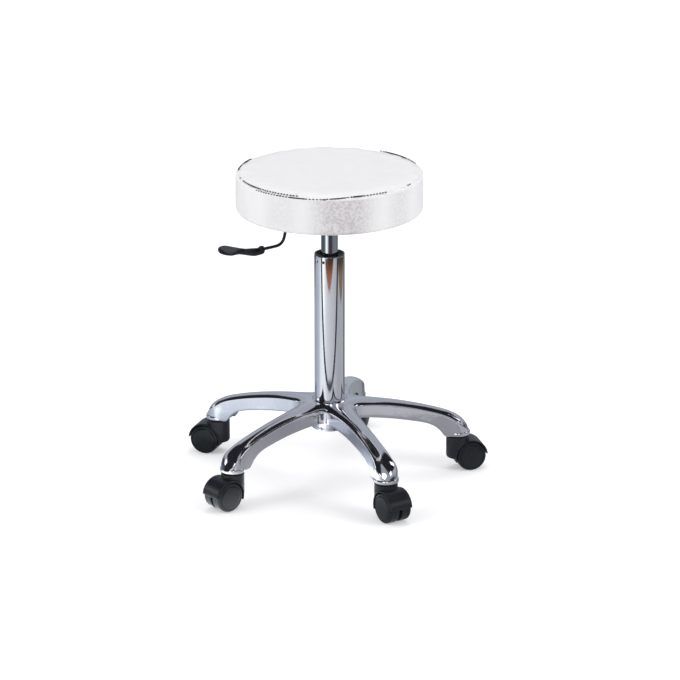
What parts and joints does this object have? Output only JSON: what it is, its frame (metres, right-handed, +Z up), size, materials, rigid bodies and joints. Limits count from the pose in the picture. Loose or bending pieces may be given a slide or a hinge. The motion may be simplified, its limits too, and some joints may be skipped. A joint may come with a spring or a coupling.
{
  "type": "wheeled swivel stool",
  "caption": "Round padded stool seat on a height-adjustable gas lift with a release lever, carried by a polished star base on hooded twin-wheel casters.",
  "frame": {"origin": "floor level, under the middle of the outline that the turned casters give the stool; the column's axis stands at X -12.35 mm, Y -8.2 mm", "axes": "+Z up; +X to the right and -Y towards the viewer of the picture; the release lever points left and a little forward, 207 degrees from +X"},
  "size_m": [0.5044, 0.5076, 0.5265],
  "materials": {
    "polished_cast": "polished",
    "chromed_tube": "polished",
    "bright_steel": "satin",
    "black_steel": "satin",
    "black_plastic": "satin",
    "wheel_plastic": "satin",
    "white_vinyl": "satin",
    "plywood": "matte"
  },
  "bodies": {
    "base": {"star_base": "polished_cast", "column_tube": "chromed_tube", "guide_bush": "black_plastic", "thrust_washer_lower": "bright_steel", "stem_sleeve_1": "bright_steel", "stem_sleeve_2": "bright_steel", "stem_sleeve_3": "bright_steel", "stem_sleeve_4": "bright_steel", "stem_sleeve_5": "bright_steel"},
    "lift_rod": {"piston_rod": "bright_steel", "piston": "black_plastic", "thrust_bearing": "bright_steel", "thrust_washer_upper": "bright_steel", "foot_washer": "bright_steel", "retaining_clip": "bright_steel"},
    "seat": {"pressure_tube": "chromed_tube", "lift_socket": "black_steel", "seat_plate": "black_steel", "seat_board": "plywood", "seat_cushion": "white_vinyl", "plate_bolt_1": "bright_steel", "plate_bolt_2": "bright_steel", "plate_bolt_3": "bright_steel", "plate_bolt_4": "bright_steel", "lever_pivot_pin": "bright_steel"},
    "lever": {"lever_rod": "black_steel", "lever_handle": "black_plastic"},
    "release_pin": {"release_pin": "bright_steel"},
    "caster_1": {"caster_1_hood": "black_plastic", "caster_1_stem": "bright_steel", "caster_1_axle": "bright_steel"},
    "caster_1_wheel_left": {"caster_1_wheel_left": "wheel_plastic"},
    "caster_1_wheel_right": {"caster_1_wheel_right": "wheel_plastic"},
    "caster_2": {"caster_2_hood": "black_plastic", "caster_2_stem": "bright_steel", "caster_2_axle": "bright_steel"},
    "caster_2_wheel_left": {"caster_2_wheel_left": "wheel_plastic"},
    "caster_2_wheel_right": {"caster_2_wheel_right": "wheel_plastic"},
    "caster_3": {"caster_3_hood": "black_plastic", "caster_3_stem": "bright_steel", "caster_3_axle": "bright_steel"},
    "caster_3_wheel_left": {"caster_3_wheel_left": "wheel_plastic"},
    "caster_3_wheel_right": {"caster_3_wheel_right": "wheel_plastic"},
    "caster_4": {"caster_4_hood": "black_plastic", "caster_4_stem": "bright_steel", "caster_4_axle": "bright_steel"},
    "caster_4_wheel_left": {"caster_4_wheel_left": "wheel_plastic"},
    "caster_4_wheel_right": {"caster_4_wheel_right": "wheel_plastic"},
    "caster_5": {"caster_5_hood": "black_plastic", "caster_5_stem": "bright_steel", "caster_5_axle": "bright_steel"},
    "caster_5_wheel_left": {"caster_5_wheel_left": "wheel_plastic"},
    "caster_5_wheel_right": {"caster_5_wheel_right": "wheel_plastic"}
  },
  "joints": [
    {"name": "seat_swivel", "type": "hinge", "parent": "base", "child": "lift_rod", "pos_m": [-0.01235, -0.0082, 0.09931], "axis": [0, 0, 1], "continuous": true},
    {"name": "seat_height", "type": "slide", "parent": "lift_rod", "child": "seat", "axis": [0, 0, 1], "range_m": [-0.032, 0.137]},
    {"name": "lever_tilt", "type": "hinge", "parent": "seat", "child": "lever", "pos_m": [-0.04799, -0.02636, 0.45101], "axis": [-0.454, 0.891, 0], "range_deg": [0, 5], "stiffness_Nm_per_rad": 3},
    {"name": "pin_press", "type": "slide", "parent": "seat", "child": "release_pin", "axis": [0, 0, -1], "range_m": [0, 0.004]},
    {"name": "caster_1_swivel", "type": "hinge", "parent": "base", "child": "caster_1", "pos_m": [0.201, 0.01837, 0.06001], "axis": [0, 0, 1], "continuous": true},
    {"name": "caster_1_roll_left", "type": "hinge", "parent": "caster_1", "child": "caster_1_wheel_left", "pos_m": [0.21984, 0.02342, 0.025], "axis": [-0.2588, 0.9659, 0], "continuous": true},
    {"name": "caster_1_roll_right", "type": "hinge", "parent": "caster_1", "child": "caster_1_wheel_right", "pos_m": [0.21984, 0.02342, 0.025], "axis": [-0.2588, 0.9659, 0], "continuous": true},
    {"name": "caster_2_swivel", "type": "hinge", "parent": "base", "child": "caster_2", "pos_m": [0.02831, 0.20292, 0.06001], "axis": [0, 0, 1], "continuous": true},
    {"name": "caster_2_roll_left", "type": "hinge", "parent": "caster_2", "child": "caster_2_wheel_left", "pos_m": [0.03269, 0.22192, 0.025], "axis": [-0.9744, 0.225, 0], "continuous": true},
    {"name": "caster_2_roll_right", "type": "hinge", "parent": "caster_2", "child": "caster_2_wheel_right", "pos_m": [0.03269, 0.22192, 0.025], "axis": [-0.9744, 0.225, 0], "continuous": true},
    {"name": "caster_3_swivel", "type": "hinge", "parent": "base", "child": "caster_3", "pos_m": [-0.20058, 0.09571, 0.06001], "axis": [0, 0, 1], "continuous": true},
    {"name": "caster_3_roll_left", "type": "hinge", "parent": "caster_3", "child": "caster_3_wheel_left", "pos_m": [-0.2189, 0.10237, 0.025], "axis": [-0.342, -0.9397, 0], "continuous": true},
    {"name": "caster_3_roll_right", "type": "hinge", "parent": "caster_3", "child": "caster_3_wheel_right", "pos_m": [-0.2189, 0.10237, 0.025], "axis": [-0.342, -0.9397, 0], "continuous": true},
    {"name": "caster_4_swivel", "type": "hinge", "parent": "base", "child": "caster_4", "pos_m": [-0.16934, -0.1551, 0.06001], "axis": [0, 0, 1], "continuous": true},
    {"name": "caster_4_roll_left", "type": "hinge", "parent": "caster_4", "child": "caster_4_wheel_left", "pos_m": [-0.18427, -0.16764, 0.025], "axis": [0.6428, -0.766, 0], "continuous": true},
    {"name": "caster_4_roll_right", "type": "hinge", "parent": "caster_4", "child": "caster_4_wheel_right", "pos_m": [-0.18427, -0.16764, 0.025], "axis": [0.6428, -0.766, 0], "continuous": true},
    {"name": "caster_5_swivel", "type": "hinge", "parent": "base", "child": "caster_5", "pos_m": [0.07885, -0.2029, 0.06001], "axis": [0, 0, 1], "continuous": true},
    {"name": "caster_5_roll_left", "type": "hinge", "parent": "caster_5", "child": "caster_5_wheel_left", "pos_m": [0.08947, -0.21925, 0.025], "axis": [0.8387, 0.5446, 0], "continuous": true},
    {"name": "caster_5_roll_right", "type": "hinge", "parent": "caster_5", "child": "caster_5_wheel_right", "pos_m": [0.08947, -0.21925, 0.025], "axis": [0.8387, 0.5446, 0], "continuous": true}
  ],
  "couplings": [
    {"joint": "pin_press", "follows": "lever_tilt", "m_per_rad": 0.044}
  ]
}
